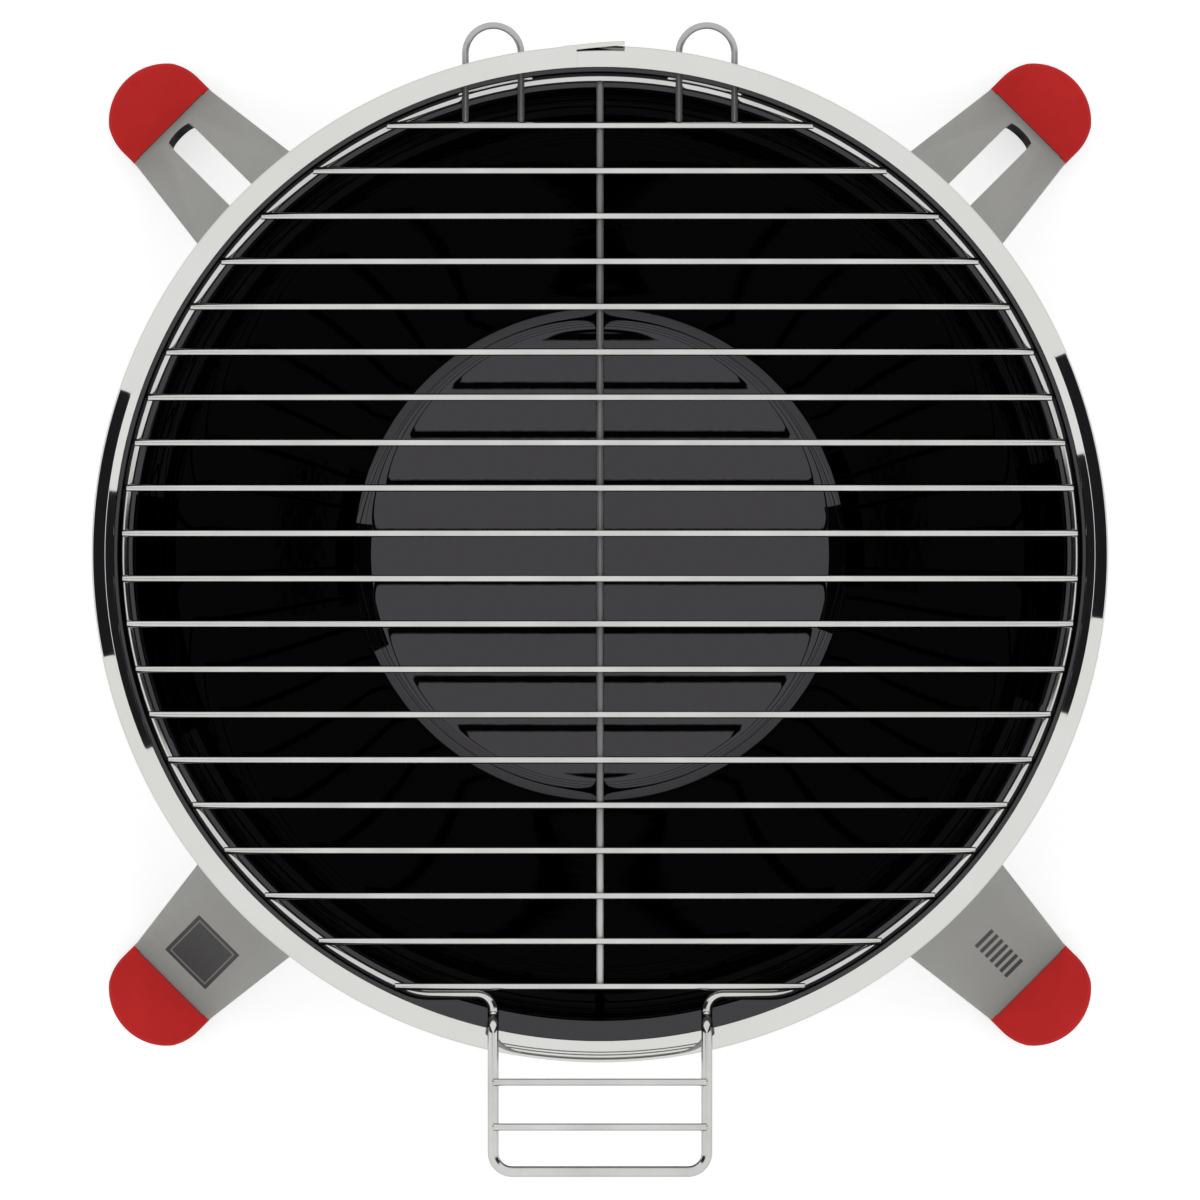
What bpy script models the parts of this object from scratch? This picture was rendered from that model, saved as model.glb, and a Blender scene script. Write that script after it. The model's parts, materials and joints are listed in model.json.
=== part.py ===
"""A portable kettle charcoal grill: enamelled bowl, steel rim trim, four legs in plastic feet,
and a wire grate that hooks through the back of the bowl and lifts by its front handle.

Metres, +Z up. The grill stands on z = 0 with its front, the handle's side, towards -Y.
"""

import math

import bmesh
import bpy
from mathutils import Matrix, Vector

# Clearance kept between touching pieces.
GAP = 0.0003

# Kettle: the bowl's axis, the top of its trim, and the ledge that carries the grate.
AXIS_Y = 0.0186
RIM_TOP = 0.275
LEDGE_Z = RIM_TOP - 0.0193
ROUND_STEPS = 64

# Bowl shell.
SHELL = 0.0013
DISH_RADIUS = 0.093
DISH_DEPTH = 0.0013
KNUCKLE_OUTER = 0.103
CONE_OUTER = 0.169
NECK_RADIUS = 0.1895
NECK_HEIGHT = 0.024
SHOULDER_RADIUS = 0.0025
LEDGE_OUTER = 0.1992
COLLAR_RADIUS = 0.2007
FLANGE_Z = RIM_TOP - 0.0038
FLANGE_ROUND = 0.0018
FLANGE_OUTER = 0.2066
LOWER_SLOPE = math.radians(38)
UPPER_SLOPE = math.radians(45)

# Slots in the bowl's collar, one for each grate hook.
SLOT_WIDTH = 0.031
SLOT_BOTTOM = LEDGE_Z + 0.0016
SLOT_TOP = RIM_TOP - 0.0085

# Trim ring: its seam is at the back, where the outer end lies over the inner one.
SEAM_START = math.radians(-2.55)
SEAM_FULL_END = math.radians(-2.75)
TAIL_SECTIONS = ((-2.65, 0.0, 0.0), (0.0, 0.0005, 0.0006), (2.8, 0.0009, 0.0012))

# Grate: frame wire, cross bars, spine, hooks and handle, measured from the bowl's axis.
FRAME_WIRE = 0.00225
BAR_WIRE = 0.0015
HOOK_WIRE = 0.0014
FRAME_RADIUS = 0.1958
FRAME_Z = LEDGE_Z + GAP + FRAME_WIRE
BAR_Z = FRAME_Z + FRAME_WIRE + GAP + BAR_WIRE
HOOK_Z = FRAME_Z + FRAME_WIRE + GAP + HOOK_WIRE
SPINE_Z = BAR_Z - 2 * BAR_WIRE - GAP
BAR_COUNT = 20
BAR_PITCH = 0.0186
FIRST_BAR_Y = 0.1759
BAR_REACH = 0.1965
FRONT_RUN_Y = -0.1806
HANDLE_X = 0.0438
HANDLE_RISE_Y = -0.1916
HANDLE_Z = RIM_TOP + GAP + FRAME_WIRE
HANDLE_END_Y = -0.2532
RUNG_Y = (-0.2165, -0.2349)
HOOK_X = 0.0438
HOOK_RADIUS = 0.0114
HOOK_CROWN_Y = 0.2054

# The line that the grate turns about when its handle is lifted.
HINGE_Y = 0.198
HINGE_Z = RIM_TOP - 0.005

# Legs: distances from the bowl's axis, outwards along the leg's own direction.
LEG_THICKNESS = 0.003
LEG_TOP_Z = 0.252
LEG_BEND_Z = 0.228
LEG_TOP_REACH = NECK_RADIUS + SHELL + GAP + LEG_THICKNESS / 2
LEG_FOOT_REACH = 0.2516
LEG_PAD_Z = 0.0045
LEG_PAD_END = 0.2655
LEG_SHOULDER_Z = 0.0102
LEG_SHOULDER_STEP = 0.0003
LEG_PAD_HALF_WIDTH = 0.0188
LEG_HALF_WIDTH_AT_RIM = 0.0263
LEG_RIM_REACH = 0.2116
LEG_TAPER = 0.115
LEG_SLOT_HALF_WIDTH = 0.0063
LEG_SLOT_TOP_Z = 0.218
LEG_SLOT_BOTTOM_Z = 0.0236

# Feet.
FOOT_BACK = 0.2462
FOOT_HALF_WIDTH = 0.0220
FOOT_ARC_CENTRE = 0.2546
FOOT_ARC_RADIUS = 0.0240
FOOT_HEIGHT = 0.0095
FOOT_EDGE = 0.0018

# Fasteners: two welded studs and hexagon nuts hold each leg.
STUD_SPREAD = 0.014
STUD_Z = 0.240
STUD_RADIUS = 0.003
STUD_LENGTH = 0.0105
NUT_HEIGHT = 0.005
NUT_FLATS = 0.010
HOLE_RADIUS = 0.0033

CORNERS = {"front_right": -45, "back_right": 45, "back_left": 135, "front_left": 225}

FINISHES = {
    "black_enamel": ((0.004, 0.004, 0.005), 0.08, 0.0),
    "polished_steel": ((0.80, 0.80, 0.78), 0.12, 1.0),
    "satin_steel": ((0.42, 0.41, 0.39), 0.35, 1.0),
    "bright_wire": ((0.72, 0.72, 0.70), 0.16, 1.0),
    "red_plastic": ((0.42, 0.018, 0.016), 0.45, 0.0),
    "zinc": ((0.55, 0.56, 0.58), 0.35, 1.0),
}


def clear_scene():
    for obj in list(bpy.data.objects):
        bpy.data.objects.remove(obj, do_unlink=True)


def make_material(name):
    colour, roughness, metallic = FINISHES[name]
    material = bpy.data.materials.new(name)
    material.use_nodes = True
    shader = material.node_tree.nodes["Principled BSDF"]
    shader.inputs["Base Color"].default_value = (*colour, 1)
    shader.inputs["Roughness"].default_value = roughness
    shader.inputs["Metallic"].default_value = metallic
    return material


def add_object(name, data, parent=None, material=None):
    obj = bpy.data.objects.new(name, data)
    bpy.context.scene.collection.objects.link(obj)
    obj.parent = parent
    if material and not data.materials:
        data.materials.append(material)
    return obj


def add_empty(name, location):
    empty = add_object(name, None)
    empty.location = location
    return empty


def smooth(mesh, angle=40):
    mesh.shade_smooth()
    mesh.set_sharp_from_angle(angle=math.radians(angle))
    return mesh


def mesh_from(name, bm):
    bmesh.ops.recalc_face_normals(bm, faces=bm.faces)
    mesh = bpy.data.meshes.new(name)
    bm.to_mesh(mesh)
    bm.free()
    return smooth(mesh)


def arc(centre, radius, start, end, steps):
    """Points (across, up) on an arc, from the start angle to the end angle in degrees."""
    angles = [math.radians(start + (end - start) * i / steps) for i in range(steps + 1)]
    return [(centre[0] + radius * math.cos(a), centre[1] + radius * math.sin(a)) for a in angles]


def slope_arc(start, end_radius, low_slope, high_slope, steps):
    """A rising wall from the start point out to end_radius, its slope growing from low to high."""
    turn = (end_radius - start[0]) / (math.sin(high_slope) - math.sin(low_slope))
    points = []
    for i in range(1, steps + 1):
        slope = low_slope + (high_slope - low_slope) * i / steps
        across = start[0] + turn * (math.sin(slope) - math.sin(low_slope))
        up = start[1] + turn * (math.cos(low_slope) - math.cos(slope))
        points.append((across, up))
    return points


def offset_line(points, distance):
    """The same open line, moved to its right by the distance, square to its direction."""
    moved = []
    for i, point in enumerate(points):
        before = Vector(points[max(i - 1, 0)])
        after = Vector(points[min(i + 1, len(points) - 1)])
        here = Vector(point)
        ways = [way.normalized() for way in (here - before, after - here) if way.length > 0]
        way = sum(ways, Vector((0, 0))).normalized()
        stretch = distance / max(way.dot(ways[0]), 0.5)
        moved.append((here.x + way.y * stretch, here.y - way.x * stretch))
    return moved


def bowl_inner_line():
    """The bowl's inner surface, from its axis out and up to the flange, starting at height 0."""
    line = [(0, 0), (DISH_RADIUS * 0.6, DISH_DEPTH * 0.36), (DISH_RADIUS, DISH_DEPTH)]
    dish_slope = math.atan(2 * DISH_DEPTH / DISH_RADIUS)
    line += slope_arc(line[-1], KNUCKLE_OUTER, dish_slope, LOWER_SLOPE, 3)
    line += slope_arc(line[-1], CONE_OUTER, LOWER_SLOPE, UPPER_SLOPE, 2)
    line += slope_arc(line[-1], NECK_RADIUS, UPPER_SLOPE, math.pi / 2, 5)
    neck_top = line[-1][1] + NECK_HEIGHT
    ledge = neck_top + SHOULDER_RADIUS
    drop = LEDGE_Z - ledge
    collar_round = COLLAR_RADIUS - LEDGE_OUTER
    line += arc((NECK_RADIUS + SHOULDER_RADIUS, neck_top), SHOULDER_RADIUS, 180, 90, 3)
    line += arc((LEDGE_OUTER, ledge + collar_round), collar_round, -90, 0, 2)
    flange_centre = (COLLAR_RADIUS + FLANGE_ROUND, FLANGE_Z - drop - FLANGE_ROUND)
    line += arc(flange_centre, FLANGE_ROUND, 180, 90, 2)
    line.append((FLANGE_OUTER, FLANGE_Z - drop - 0.0008))
    return [(across, up + drop) for across, up in line]


def turned(name, outline, parent, material):
    """A solid of revolution. The outline starts and ends on the axis, down its outer side."""
    mesh = bpy.data.meshes.new(name)
    points = [(across, 0, up) for across, up in outline]
    edges = [(i, i + 1) for i in range(len(points) - 1)]
    mesh.from_pydata(points, edges, [])
    obj = add_object(name, mesh, parent, material)
    screw = obj.modifiers.new("turn", "SCREW")
    screw.steps = ROUND_STEPS
    screw.render_steps = ROUND_STEPS
    screw.use_merge_vertices = True
    screw.merge_threshold = 0.00005
    screw.use_smooth_shade = True
    return obj


def cut(target, cutter):
    """Takes the cutter's solid away from the target."""
    cutter.hide_render = True
    cutter.display_type = "WIRE"
    boolean = target.modifiers.new(cutter.name, "BOOLEAN")
    boolean.operation = "DIFFERENCE"
    boolean.solver = "EXACT"
    boolean.object = cutter
    return boolean


def box(name, low, high, parent):
    bm = bmesh.new()
    bmesh.ops.create_cube(bm, size=1)
    size = [b - a for a, b in zip(low, high)]
    middle = [(a + b) / 2 for a, b in zip(low, high)]
    bmesh.ops.scale(bm, vec=size, verts=bm.verts)
    bmesh.ops.translate(bm, vec=middle, verts=bm.verts)
    mesh = bpy.data.meshes.new(name)
    bm.to_mesh(mesh)
    bm.free()
    return add_object(name, mesh, parent)


def make_bowl(axis, material):
    inner = bowl_inner_line()
    outer = offset_line(inner, SHELL)
    outer[0] = (0, outer[0][1])
    bowl = turned("bowl", inner + outer[::-1], axis, material)
    for side, x in (("left", -HOOK_X), ("right", HOOK_X)):
        low = (x - SLOT_WIDTH / 2, 0.18, SLOT_BOTTOM)
        high = (x + SLOT_WIDTH / 2, 0.22, SLOT_TOP)
        cut(bowl, box("slot_cutter_" + side, low, high, axis))
    return bowl


def trim_profile():
    """The trim's folded strip: inner lip, roof, outer side and the hem turned in below."""
    outside = [(0.1995, -0.0054), (0.1995, -0.0028), (0.2028, 0), (0.2073, -0.0028)]
    outside += [(0.2085, -0.0045), (0.2085, -0.0100), (0.2055, -0.0100)]
    inside = [(0.2055, -0.0091), (0.2076, -0.0091), (0.2076, -0.0050), (0.2068, -0.0036)]
    inside += [(0.2028, -0.0011), (0.2004, -0.0032), (0.2004, -0.0054)]
    return outside + inside


def lapped_profile():
    """The trim close to its outer end, where its outer side has moved out over the inner end."""
    outside = [(0.1995, -0.0034), (0.1995, -0.0028), (0.2028, 0), (0.2083, -0.0019)]
    outside += [(0.2097, -0.0041), (0.2097, -0.0096), (0.2094, -0.0098)]
    inside = [(0.2091, -0.0098), (0.20885, -0.0096), (0.20885, -0.00435), (0.2076, -0.00245)]
    inside += [(0.2028, -0.0011), (0.2004, -0.0032), (0.2004, -0.0034)]
    return outside + inside


def tail_profile(flare, trimmed):
    """The trim's outer end, which keeps only its outer side and stands off the inner end."""
    roof = [(0.2070, -0.0019), (0.2070, -0.0013), (0.2072, -0.00105), (0.2083, -0.0019)]
    side = [(0.2097, -0.0041), (0.2097, -0.0096), (0.2094, -0.0098)]
    side += [(0.2091, -0.0098), (0.20885, -0.0096), (0.20885, -0.00435)]
    under = [(0.2076, -0.00245), (0.2074, -0.0023), (0.2072, -0.00215), (0.2071, -0.0020)]
    shift = flare + trimmed * 0.6
    near = [(across + shift, up - trimmed * 0.5) for across, up in roof[:3]]
    near.append((roof[3][0] + flare, roof[3][1]))
    low = [(across + shift, up - trimmed * 0.5) for across, up in under]
    return near + [(across + flare, up) for across, up in side] + low


def facet_scale(angle):
    """How far in a flat of the turned bowl lies at this angle, as a share of its radius."""
    step = 2 * math.pi / ROUND_STEPS
    off_middle = (angle % step) - step / 2
    return math.cos(step / 2) / math.cos(off_middle)


def trim_sections():
    """(angle clockwise from the back, profile) all the way round, ending in the tail."""
    full = trim_profile()
    step = 2 * math.pi / ROUND_STEPS
    sections = [(SEAM_START, full)]
    sections += [(i * step, full) for i in range(ROUND_STEPS)]
    sections.append((SEAM_FULL_END, lapped_profile()))
    for degrees, flare, trimmed in TAIL_SECTIONS:
        sections.append((math.radians(degrees), tail_profile(flare, trimmed)))
    return sections


def make_trim(axis, material):
    bm = bmesh.new()
    rings = []
    for number, (angle, profile) in enumerate(trim_sections()):
        scale = facet_scale(angle) if number <= ROUND_STEPS + 1 else 1
        across = Vector((math.sin(angle), math.cos(angle), 0)) * scale
        ring = [bm.verts.new(across * r + Vector((0, 0, RIM_TOP + up))) for r, up in profile]
        rings.append(ring)
    for one, two in zip(rings, rings[1:]):
        for i in range(len(one)):
            j = (i + 1) % len(one)
            bm.faces.new((one[i], one[j], two[j], two[i]))
    bm.faces.new(rings[0][::-1])
    bm.faces.new(rings[-1])
    bmesh.ops.triangulate(bm, faces=[face for face in bm.faces if len(face.verts) > 4])
    return add_object("trim_ring", mesh_from("trim_ring", bm), axis, material)


def rounded(points, radii, step=math.radians(22)):
    """A closed path with each corner rounded to its own radius."""
    path = []
    count = len(points)
    for i, radius in enumerate(radii):
        corner = Vector(points[i])
        if not radius:
            path.append(corner)
            continue
        back = (Vector(points[i - 1]) - corner).normalized()
        ahead = (Vector(points[(i + 1) % count]) - corner).normalized()
        turn = math.pi - back.angle(ahead)
        reach = radius * math.tan(turn / 2)
        middle = corner + (back + ahead).normalized() * radius / math.cos(turn / 2)
        first = corner + back * reach - middle
        pivot = first.cross(corner + ahead * reach - middle).normalized()
        steps = max(2, round(turn / step))
        for k in range(steps + 1):
            path.append(middle + Matrix.Rotation(turn * k / steps, 3, pivot) @ first)
    return path


def rod(name, points, radius, parent, material, closed=False):
    """A round wire along the points."""
    curve = bpy.data.curves.new(name, "CURVE")
    curve.dimensions = "3D"
    curve.bevel_depth = radius
    curve.bevel_resolution = 2
    curve.use_fill_caps = True
    spline = curve.splines.new("POLY")
    spline.points.add(len(points) - 1)
    for place, point in zip(spline.points, points):
        place.co = (*point, 1)
    spline.use_cyclic_u = closed
    spline.use_smooth = True
    obj = add_object(name, curve, parent, material)
    return obj


def frame_path():
    """The frame wire: round the ledge, in to the handle, up over the trim and back again."""
    half_gap = math.asin(-FRONT_RUN_Y / FRAME_RADIUS)
    corner_x = FRAME_RADIUS * math.cos(half_gap)
    first = math.atan2(corner_x, -FRONT_RUN_Y)
    steps = 58
    ring = []
    for i in range(1, steps):
        angle = -math.pi / 2 + first + (2 * math.pi - 2 * first) * i / steps
        ring.append((FRAME_RADIUS * math.cos(angle), FRAME_RADIUS * math.sin(angle), FRAME_Z))
    handle = [(-corner_x, FRONT_RUN_Y, FRAME_Z, 0.025)]
    handle.append((-HANDLE_X, FRONT_RUN_Y, FRAME_Z, 0.007))
    handle.append((-HANDLE_X, HANDLE_RISE_Y, FRAME_Z, 0.004))
    handle.append((-HANDLE_X, HANDLE_RISE_Y, HANDLE_Z, 0.005))
    handle.append((-HANDLE_X, HANDLE_END_Y, HANDLE_Z, 0.0078))
    handle += [(-x, y, z, radius) for x, y, z, radius in handle[::-1]]
    points = ring + [corner[:3] for corner in handle]
    radii = [0] * len(ring) + [corner[3] for corner in handle]
    return rounded(points, radii)


def make_grate(hinge, material):
    """The grate's wires, drawn about the bowl's axis and carried by the hinge."""
    pieces = [rod("grate_frame", frame_path(), FRAME_WIRE, hinge, material, closed=True)]
    for number in range(BAR_COUNT):
        y = FIRST_BAR_Y - BAR_PITCH * number
        x = math.sqrt(BAR_REACH**2 - y**2)
        ends = [(-x, y, BAR_Z), (x, y, BAR_Z)]
        pieces.append(rod(f"grate_bar_{number + 1:02}", ends, BAR_WIRE, hinge, material))
    last_bar = FIRST_BAR_Y - BAR_PITCH * (BAR_COUNT - 1)
    spine_back = FRAME_RADIUS - FRAME_WIRE - GAP
    spine = [(0, spine_back, SPINE_Z), (0, last_bar - BAR_WIRE, SPINE_Z)]
    pieces.append(rod("grate_spine", spine, BAR_WIRE, hinge, material))
    for name, side in (("grate_hook_left", -1), ("grate_hook_right", 1)):
        crown = arc((side * HOOK_X, HOOK_CROWN_Y), HOOK_RADIUS, 180, 0, 10)
        root = FIRST_BAR_Y + BAR_WIRE + GAP
        line = [(crown[0][0], root), *crown, (crown[-1][0], root)]
        points = [(x, y, HOOK_Z) for x, y in line]
        pieces.append(rod(name, points, HOOK_WIRE, hinge, material))
    rung_z = HANDLE_Z + FRAME_WIRE + GAP + BAR_WIRE
    for name, y in zip(("handle_rung_inner", "handle_rung_outer"), RUNG_Y):
        ends = [(-HANDLE_X, y, rung_z), (HANDLE_X, y, rung_z)]
        pieces.append(rod(name, ends, BAR_WIRE, hinge, material))
    for piece in pieces:
        piece.location = (0, -HINGE_Y, -HINGE_Z)


def leg_line():
    """(outwards, up) along the middle of a leg's plate: flange, strut, shoulder, bend, pad."""
    corners = [(LEG_TOP_REACH, LEG_TOP_Z), (LEG_TOP_REACH, LEG_BEND_Z)]
    for up in (LEG_SHOULDER_Z, LEG_SHOULDER_Z - LEG_SHOULDER_STEP):
        corners.append((strut_reach(up), up))
    corners += [(LEG_FOOT_REACH, LEG_PAD_Z), (LEG_PAD_END, LEG_PAD_Z)]
    points = [(0, across, up) for across, up in corners]
    path = rounded(points, [0, 0.012, 0, 0, 0.004, 0])
    return [(point.y, point.z) for point in path]


def leg_half_width(reach, up):
    """The strut narrows downwards. Below its shoulders the plate fits inside the boot."""
    if up < LEG_SHOULDER_Z - LEG_SHOULDER_STEP / 2:
        return LEG_PAD_HALF_WIDTH
    return LEG_HALF_WIDTH_AT_RIM - LEG_TAPER * (reach - LEG_RIM_REACH)


def strut_reach(height):
    """How far out the middle of a leg's strut is at this height."""
    share = (LEG_BEND_Z - height) / (LEG_BEND_Z - LEG_PAD_Z)
    return LEG_TOP_REACH + (LEG_FOOT_REACH - LEG_TOP_REACH) * share


def plate(name, line, thickness, half_widths):
    """A bent plate along +X: its middle line, its thickness, and its half width at each point."""
    near = offset_line(line, thickness / 2)
    far = offset_line(line, -thickness / 2)
    bm = bmesh.new()
    rings = []
    for half, inner, outer in zip(half_widths, near, far):
        corners = [(inner, -half), (inner, half), (outer, half), (outer, -half)]
        rings.append([bm.verts.new((at[0], across, at[1])) for at, across in corners])
    for one, two in zip(rings, rings[1:]):
        for i in range(4):
            j = (i + 1) % 4
            bm.faces.new((one[i], one[j], two[j], two[i]))
    bm.faces.new(rings[0][::-1])
    bm.faces.new(rings[-1])
    return add_object(name, mesh_from(name, bm))


def slot_outline(half_width, bottom, top, steps=6):
    """A slot with round ends, as (across, along) points."""
    upper = arc((0, top - half_width), half_width, 0, 180, steps)
    lower = arc((0, bottom + half_width), half_width, 180, 360, steps)
    return upper + lower


def prism(name, outline, depth):
    """The outline as (y, z) points, stretched along X to both sides of its plane."""
    bm = bmesh.new()
    face = bm.faces.new([bm.verts.new((-depth, y, z)) for y, z in outline])
    grown = bmesh.ops.extrude_face_region(bm, geom=[face])["geom"]
    moved = [item for item in grown if isinstance(item, bmesh.types.BMVert)]
    bmesh.ops.translate(bm, vec=(2 * depth, 0, 0), verts=moved)
    return add_object(name, mesh_from(name, bm))


def pin(name, radius, length, sides=12):
    """A round pin along +X from its own origin."""
    bm = bmesh.new()
    ends = {"radius1": radius, "radius2": radius, "depth": length}
    bmesh.ops.create_cone(bm, cap_ends=True, segments=sides, **ends)
    bmesh.ops.rotate(bm, matrix=Matrix.Rotation(math.pi / 2, 3, "Y"), verts=bm.verts)
    bmesh.ops.translate(bm, vec=(length / 2, 0, 0), verts=bm.verts)
    return add_object(name, mesh_from(name, bm))


def baked(obj):
    """The object's mesh with its cuts made, ready to be shared. The object goes."""
    bpy.context.view_layer.update()
    graph = bpy.context.evaluated_depsgraph_get()
    mesh = bpy.data.meshes.new_from_object(obj.evaluated_get(graph))
    bpy.data.objects.remove(obj, do_unlink=True)
    return smooth(mesh, 30)


def leg_mesh(slotted):
    line = leg_line()
    half_widths = [leg_half_width(reach, up) for reach, up in line]
    leg = plate("leg_plate", line, LEG_THICKNESS, half_widths)
    for side in (-1, 1):
        cutter = pin(f"stud_hole_cutter_{side + 1}", HOLE_RADIUS, 0.02)
        cutter.location = (LEG_TOP_REACH - 0.01, side * STUD_SPREAD, STUD_Z)
        cut(leg, cutter)
    if slotted:
        middle_z = (LEG_SLOT_TOP_Z + LEG_SLOT_BOTTOM_Z) / 2
        lean = math.atan2(LEG_FOOT_REACH - LEG_TOP_REACH, LEG_BEND_Z - LEG_PAD_Z)
        half_length = (LEG_SLOT_TOP_Z - LEG_SLOT_BOTTOM_Z) / 2 / math.cos(lean)
        outline = slot_outline(LEG_SLOT_HALF_WIDTH, -half_length, half_length)
        slot = prism("leg_slot_cutter", outline, 0.01)
        slot.location = (strut_reach(middle_z), 0, middle_z)
        slot.rotation_euler = (0, -lean, 0)
        cut(leg, slot)
    return baked(leg)


def foot_mesh():
    """A foot's boot: a flat round-nosed block with a pocket that the leg's end fills."""
    half_angle = math.degrees(math.asin(FOOT_HALF_WIDTH / FOOT_ARC_RADIUS))
    nose = arc((FOOT_ARC_CENTRE, 0), FOOT_ARC_RADIUS, -half_angle, half_angle, 12)
    outline = [(FOOT_BACK, -FOOT_HALF_WIDTH), *nose, (FOOT_BACK, FOOT_HALF_WIDTH)]
    bm = bmesh.new()
    base = bm.faces.new([bm.verts.new((x, y, 0)) for x, y in outline])
    grown = bmesh.ops.extrude_face_region(bm, geom=[base])["geom"]
    top = [item for item in grown if isinstance(item, bmesh.types.BMVert)]
    bmesh.ops.translate(bm, vec=(0, 0, FOOT_HEIGHT), verts=top)
    rim = [edge for edge in bm.edges if all(v.co.z > FOOT_HEIGHT / 2 for v in edge.verts)]
    bmesh.ops.bevel(bm, geom=rim, offset=FOOT_EDGE, segments=3, profile=0.5, affect="EDGES")
    foot = add_object("foot_block", mesh_from("foot_block", bm))
    line = [point for point in leg_line() if point[1] < LEG_BEND_Z / 2]
    line[0] = (strut_reach(2 * FOOT_HEIGHT), 2 * FOOT_HEIGHT)
    line[-1] = (LEG_PAD_END + GAP, LEG_PAD_Z)
    half_widths = [LEG_PAD_HALF_WIDTH + GAP] * len(line)
    cut(foot, plate("foot_pocket_cutter", line, LEG_THICKNESS + 2 * GAP, half_widths))
    return baked(foot)


def nut_mesh():
    """A hexagon nut along +X from its own origin, with a clear hole."""
    corner = NUT_FLATS / 2 / math.cos(math.pi / 6)
    loops = []
    bm = bmesh.new()
    for x in (0, NUT_HEIGHT):
        for is_hole in (False, True):
            loop = []
            for i in range(12):
                angle = math.pi * i / 6
                flat = corner if i % 2 == 0 else NUT_FLATS / 2
                radius = HOLE_RADIUS if is_hole else flat
                loop.append(bm.verts.new((x, radius * math.cos(angle), radius * math.sin(angle))))
            loops.append(loop)
    near_rim, near_hole, far_rim, far_hole = loops
    for one, two in ((near_rim, far_rim), (far_hole, near_hole), (near_hole, near_rim)):
        for i in range(12):
            j = (i + 1) % 12
            bm.faces.new((one[i], one[j], two[j], two[i]))
    for i in range(12):
        j = (i + 1) % 12
        bm.faces.new((far_rim[i], far_rim[j], far_hole[j], far_hole[i]))
    return mesh_from("nut", bm)


def make_stand(axis, materials):
    """The legs, feet, studs and nuts, each set turned to its own corner."""
    plain_leg = leg_mesh(slotted=False)
    slotted_leg = leg_mesh(slotted=True)
    foot = foot_mesh()
    nut = nut_mesh()
    stud_object = pin("stud", STUD_RADIUS, STUD_LENGTH)
    stud = stud_object.data
    bpy.data.objects.remove(stud_object)
    stud_root = NECK_RADIUS + SHELL + GAP / 6
    nut_seat = LEG_TOP_REACH + LEG_THICKNESS / 2 + GAP
    for corner, degrees in CORNERS.items():
        turn = math.radians(degrees)
        leg_data = slotted_leg if corner.startswith("back") else plain_leg
        leg = add_object("leg_" + corner, leg_data, axis, materials["satin_steel"])
        leg.rotation_euler.z = turn
        boot = add_object("foot_" + corner, foot, axis, materials["red_plastic"])
        boot.rotation_euler.z = turn
        for letter, side in (("a", -1), ("b", 1)):
            name = f"{corner}_{letter}"
            for kind, data, reach in (("stud_", stud, stud_root), ("nut_", nut, nut_seat)):
                piece = add_object(kind + name, data, axis, materials["zinc"])
                place = Vector((reach, side * STUD_SPREAD, STUD_Z))
                piece.location = Matrix.Rotation(turn, 3, "Z") @ place
                piece.rotation_euler.z = turn


def main():
    clear_scene()
    materials = {name: make_material(name) for name in FINISHES}
    axis = add_empty("kettle_axis", (0, AXIS_Y, 0))
    hinge = add_empty("grate_hinge_axis", (0, AXIS_Y + HINGE_Y, HINGE_Z))
    make_bowl(axis, materials["black_enamel"])
    make_trim(axis, materials["polished_steel"])
    make_stand(axis, materials)
    make_grate(hinge, materials["bright_wire"])


main()
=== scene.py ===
import json
import math

import bmesh
import bpy
from mathutils import Matrix, Vector

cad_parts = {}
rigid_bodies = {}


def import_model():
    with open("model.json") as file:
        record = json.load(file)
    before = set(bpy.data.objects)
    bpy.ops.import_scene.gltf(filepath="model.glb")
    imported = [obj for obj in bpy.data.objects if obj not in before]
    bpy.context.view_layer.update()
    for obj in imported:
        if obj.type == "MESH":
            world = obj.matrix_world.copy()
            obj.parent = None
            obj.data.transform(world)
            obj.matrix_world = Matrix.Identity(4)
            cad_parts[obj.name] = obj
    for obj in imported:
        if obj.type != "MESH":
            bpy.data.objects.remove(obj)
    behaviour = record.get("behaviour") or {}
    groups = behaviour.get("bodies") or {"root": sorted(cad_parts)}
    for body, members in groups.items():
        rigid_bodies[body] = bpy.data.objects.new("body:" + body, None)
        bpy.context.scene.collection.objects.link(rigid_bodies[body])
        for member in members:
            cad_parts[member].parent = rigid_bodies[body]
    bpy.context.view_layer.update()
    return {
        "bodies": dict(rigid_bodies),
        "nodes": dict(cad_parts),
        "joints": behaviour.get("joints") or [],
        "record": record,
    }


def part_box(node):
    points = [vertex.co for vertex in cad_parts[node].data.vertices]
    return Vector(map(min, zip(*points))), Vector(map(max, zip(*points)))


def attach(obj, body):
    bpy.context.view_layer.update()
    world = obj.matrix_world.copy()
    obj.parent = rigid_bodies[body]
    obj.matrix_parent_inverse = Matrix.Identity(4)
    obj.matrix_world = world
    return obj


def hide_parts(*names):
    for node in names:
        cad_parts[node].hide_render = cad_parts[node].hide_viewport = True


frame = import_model()

# ---------------------------------------------------------------- sizes taken from the frame
BOWL_LOW, BOWL_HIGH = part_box("bowl")
FRAME_LOW, FRAME_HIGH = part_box("grate_frame")
RUNG_LOW, RUNG_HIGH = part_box("handle_rung_inner")

AXIS = Vector(((BOWL_LOW.x + BOWL_HIGH.x) / 2, (BOWL_LOW.y + BOWL_HIGH.y) / 2, 0))
RIM_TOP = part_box("trim_ring")[1].z
FLANGE_OUTER = (BOWL_HIGH.x - BOWL_LOW.x) / 2
FLANGE_Z = BOWL_HIGH.z

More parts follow.
